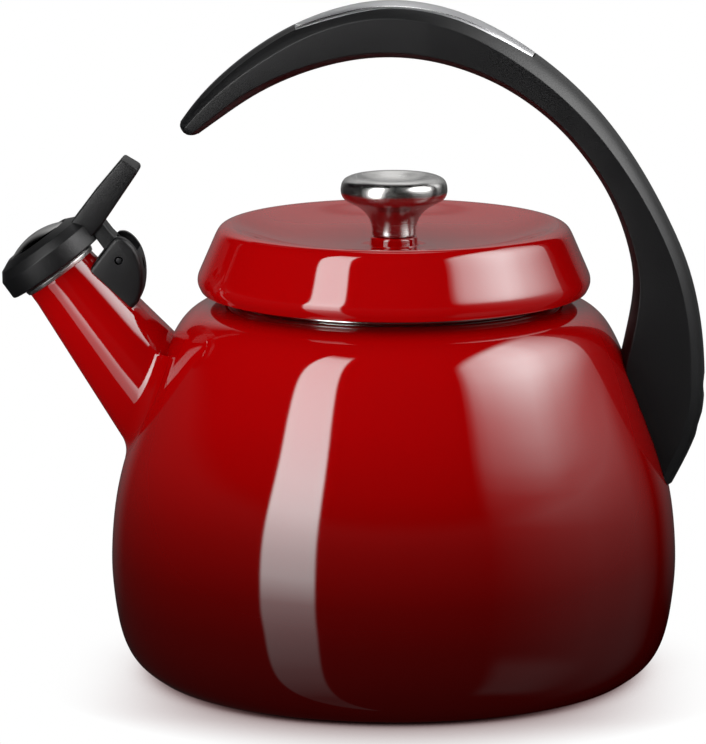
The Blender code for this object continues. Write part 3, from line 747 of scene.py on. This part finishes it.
# ---- lid ----
# A pressed steel lid enamelled like the body: conical side, narrow rolled crest and a
# shallow dish that falls to a raised boss in the middle. A sleeve under it drops
# into the neck and is spot-welded to the flange.
lid_outer = ([Vector(p) for p in ((2.6, 155.7), (7.4, 155.7), (7.9, 155.5), (8.2, 155.1),
                                  (8.3, 154.6), (8.3, 153.4), (8.4, 152.8), (8.8, 152.4))]
             + smooth_curve([(10.4, 152.25), (18.0, 152.3), (36.0, 153.8), (47.5, 156.6),
                             (53.5, 158.8), (57.8, 159.85), (61.0, 158.9), (62.9, 156.2),
                             (65.4, 150.5), (68.3, 143.8), (69.15, 141.3), (69.1, 139.2),
                             (68.2, 137.1), (66.6, 136.3), (60.5, 136.0)], 5))
lid_inner = offset(lid_outer[::2], -1.4)
lid_inner[0], lid_inner[-1] = Vector((2.6, 154.2)), Vector((60.5, 137.5))
lid = piece("lid", turned(lid_outer + lid_inner[::-1], 256))
enamel.on(lid)
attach(lid, "lid")
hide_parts("lid_shell")
sleeve_outline = rounded([(53.4, 125.3, 0.4), (54.4, 125.3, 0.4), (54.4, 135.6, 0.5),
                          (59.6, 135.6, 0.5), (59.6, 136.8, 0), (53.4, 136.8, 0)])
sleeve = piece("sleeve", turned(sleeve_outline))
neck_steel.on(sleeve)
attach(sleeve, "lid")
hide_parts("lid_sleeve")

# ---- lid knob ----
# Turned from solid stainless steel: a waisted stem that flares out to a full rolled
# rim round a dished top. The rim is polished, the dish and stem keep the lathe's lines.
foot = 156.0
knob_outline = (smooth_curve([(7.4, foot), (7.75, foot + 0.5), (7.8, foot + 2.4), (8.6, foot + 5.4),
                              (10.4, foot + 8.2), (13.2, foot + 10.4), (16.6, foot + 12.2),
                              (18.2, foot + 13.6), (18.8, foot + 15.8), (18.4, 174.4),
                              (17.2, 175.9), (15.0, 176.8), (13.0, 177.0), (11.4, 176.6),
                              (8.4, 175.3), (4.6, 174.4), (0.0, 174.1)], 5)
                + [Vector((0, foot + 9.6)), Vector((2.3, foot + 9.6)), Vector((2.3, foot))])
knob = piece("knob", turned(knob_outline, 112))
knob_steel = lathe_steel("knob_steel", grain=6500.0, depth=0.000006, rough=0.16,
                         colour=(0.46, 0.455, 0.445))
knob_steel.on(knob)
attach(knob, "lid")
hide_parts("lid_knob")
for name in ("knob_washer", "knob_screw"):
    dome_steel.on(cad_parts[name])

# ---- studio ----
# A pale sweep that stays white up to the soft shadow where the kettle stands. The shadow
# comes from nearness to the kettle, not from a lamp. A dome of panels, one tall at the left
# and one wide and feathered at the right, shows only in the gloss of the pieces; their
# body colour is lit evenly, a little more from the left.
floor_form = bmesh.new()
bmesh.ops.create_circle(floor_form, cap_ends=True, segments=64, radius=6000.0)
ground = piece("floor", floor_form)
pale = Finish("floor_white")
open_air = pale.node("ShaderNodeAmbientOcclusion", {"samples": 16, "only_local": False},
                     {"Distance": 0.035, "Normal": (0.0, 0.6, 0.8)}, out="AO")
side_light = 1 + 2.2 * pale.along("Y").between(-0.085, 0.0)
contact = open_air.between(0.14, 0.31)
contact = contact + (1 - contact) * pale.along("Y").between(-0.085, -0.045)
lit = (1 - (1 - open_air) ** side_light) * (0.1 + 0.9 * contact)
# painted shadow from the occlusion; its green and blue fall away faster so it turns pink, a painted
# reflection of the red body
glow = pale.node("ShaderNodeEmission", values={"Color": pale.node(
    "ShaderNodeCombineColor", values={"Red": lit, "Green": lit ** 1.22, "Blue": lit ** 1.22})})
pale.tree.links.new(glow.socket, pale.tree.nodes["Material Output"].inputs["Surface"])
pale.on(ground)
ground.visible_glossy = ground.visible_diffuse = ground.visible_shadow = False

dome_form = bmesh.new()
bmesh.ops.create_icosphere(dome_form, subdivisions=5, radius=1000.0)
surroundings = piece("surroundings", dome_form)
sky = Finish("panels")


def angles_from(*centre):
    """Compass and height angle of each place on the dome, seen from a point in metres."""
    x, y, z = [sky.along(axis) - at for axis, at in zip("XYZ", centre)]
    return (x.math("ARCTAN2", x, -1.0 * y) * (180 / pi),
            z.math("ARCTAN2", z, (x * x + y * y) ** 0.5) * (180 / pi))


def level(angle, stops):
    """Straight runs of light between the given (angle, level) points, none above 1."""
    low, high = stops[0][0], stops[-1][0]
    stops = [((at - low) / (high - low), (bright,) * 3) for at, bright in stops]
    return sky.node("ShaderNodeValToRGB", {"stops": stops}, {"Fac": (angle - low) / (high - low)})


compass, rise = angles_from(-0.045, -0.085, 0.08)
strip = 12.4 * level(rise, [
    (-62, 0.01), (-55, 0.02), (-45, 0.034), (-36, 0.05), (-29, 0.083), (-17, 0.15), (-12, 0.19),
    (-8, 0.36), (-5, 0.50), (2, 0.59), (10, 0.73), (18, 0.94), (26, 1.0), (40, 0.90), (50, 0.86),
    (60, 0.74), (67, 0.0)]) * compass.between(-53, -51) * (1 - compass.between(-28.5, -26.5))
compass, rise = angles_from(0.06, -0.07, 0.11)
tilt = (rise * (pi / 180)).math("TANGENT", rise * (pi / 180)) \
    / compass.math("COSINE", (compass - 95) * (pi / 180))
wide = 12.8 * level(rise + 0.2 * (compass - 75), [
    (4, 0.0), (14, 0.05), (18, 0.12), (22, 0.26), (24, 0.40), (26, 0.58), (28, 0.75), (31, 0.92),
    (34, 0.99), (42, 1.0), (50, 0.88), (60, 0.75)]) \
    * level(compass, [(36.5, 0.0), (39.5, 0.10), (43.5, 0.38), (49, 0.56), (56, 0.66), (69, 0.89),
                      (78, 1.0)]) \
    * level(compass - 0.7 * (rise - 36), [(86, 1.0), (94, 0.87), (102, 0.67), (110, 0.54),
                                          (119, 0.38), (132, 0.19), (150, 0.0)]) \
    * (1 - tilt.between(1.6, 2.15))
compass, rise = angles_from(0.05, -0.07, 0.05)
bounced = level(rise, [(-60, 0.0), (-28, 0.10), (-8, 0.15), (4, 0.32), (14, 0.52), (19, 0.0)]) \
    * level(compass, [(40, 0.1), (55, 0.4), (75, 0.8), (92, 1.0), (120, 0.7), (140, 0.0)]) \
    + 0.15 * rise.between(-60, -49) * (1 - rise.between(-34, -27)) \
    * compass.between(40, 52) * (1 - compass.between(62, 104))
compass, rise = angles_from(0.0, 0.0, 0.15)
around = compass.math("ABSOLUTE", compass)
backdrop_glow = level(rise, [(-22, 0.0), (-10, 0.08), (0, 0.16), (10, 0.28), (20, 0.44),
                             (30, 0.72), (40, 1.0), (52, 0.0)]) * around.between(134, 152)
rear_box = 1.6 * around.between(156, 166) * rise.between(42, 50) * (1 - rise.between(68, 78))
shining = sky.node("ShaderNodeEmission", values={
    "Color": (1.0, 1.0, 1.0, 1.0), "Strength": strip + wide + bounced + backdrop_glow + rear_box})
sky.tree.links.new(shining.socket, sky.tree.nodes["Material Output"].inputs["Surface"])
sky.material.cycles.emission_sampling = "NONE"
sky.on(surroundings)
surroundings.visible_camera = surroundings.visible_diffuse = surroundings.visible_shadow = False
surroundings.visible_transmission = False

world = bpy.data.worlds.new("studio")
bpy.context.scene.world = world
world.use_nodes = True
world.cycles_visibility.glossy = False


class Air(Finish):
    """The even light of the room, which gives the pieces their body colour."""

    def __init__(self, tree):
        self.tree = tree


air = Air(world.node_tree)
way = air.node("ShaderNodeTexCoord", out="Generated")
toward_key = air.node("ShaderNodeVectorMath", {"operation": "DOT_PRODUCT"},
                      {0: way, 1: (-0.56, -0.66, 0.5)}, out="Value")
seen = air.node("ShaderNodeLightPath", out="Is Camera Ray")
even = 1.3 + 1.0 * toward_key.between(0.1, 1.0)
backdrop = world.node_tree.nodes["Background"]
air.feed(backdrop.inputs["Strength"], even + seen * (1.0 - even))
backdrop.inputs["Color"].default_value = (1.0, 1.0, 1.0, 1.0)

lens = bpy.data.cameras.new("camera")
lens.lens, lens.sensor_width = 278.3, 36.0
lens.clip_start, lens.clip_end = 0.05, 60.0
camera = bpy.data.objects.new("camera", lens)
bpy.context.scene.collection.objects.link(camera)
camera.location = (0.08724, -1.9981, 0.4765)
gaze = Vector((-0.01445, 0.0, 0.1067)) - camera.location
camera.rotation_euler = gaze.to_track_quat("-Z", "Y").to_euler()
bpy.context.scene.camera = camera
bpy.context.scene.view_settings.view_transform = "Standard"
